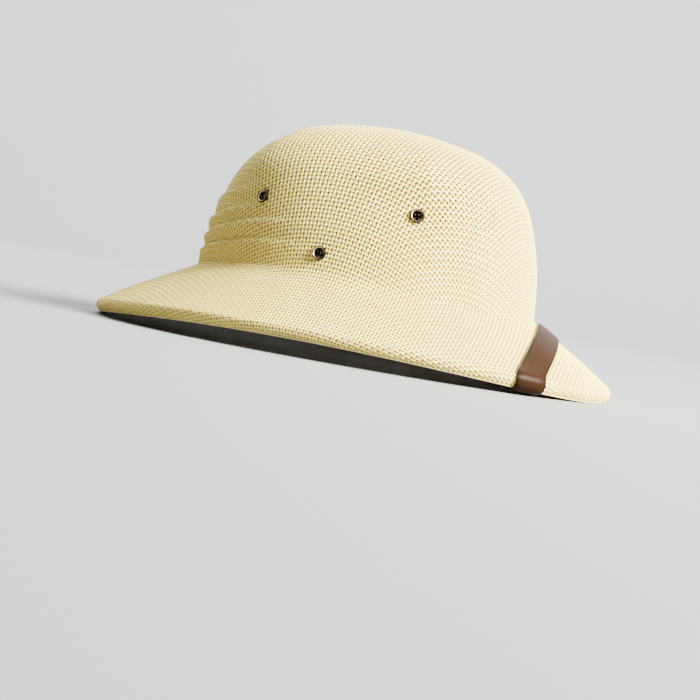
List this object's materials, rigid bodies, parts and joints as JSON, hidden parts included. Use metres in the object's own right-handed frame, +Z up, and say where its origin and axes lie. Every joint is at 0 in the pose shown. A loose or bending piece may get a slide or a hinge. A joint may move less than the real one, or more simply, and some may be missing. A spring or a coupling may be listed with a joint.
{
  "type": "straw hat",
  "caption": "Woven straw hat in the form of a sun helmet, with a rolled rim, pressed pleats, vent eyelets and a leather chin strap over the bill.",
  "frame": {"origin": "under the middle of the hat's length and width, on the level the rim rests on", "axes": "+Z up through the crown; the bill points along -Y and the longer back brim along +Y; +X is the wearer's left side"},
  "size_m": [0.2598, 0.3338, 0.1455],
  "materials": {
    "woven_straw": "matte woven paper straw",
    "brown_leather": "smooth, slightly waxed",
    "dark_brass": "antique, worn bright on the raised edge"
  },
  "bodies": {
    "root": {"crown_and_brim": "woven_straw", "chin_strap": "brown_leather", "vent_eyelet_front_left": "dark_brass", "vent_eyelet_front_right": "dark_brass", "vent_eyelet_back_left": "dark_brass", "vent_eyelet_back_right": "dark_brass", "vent_eyelet_lower_left": "dark_brass", "vent_eyelet_lower_right": "dark_brass"}
  },
  "joints": []
}
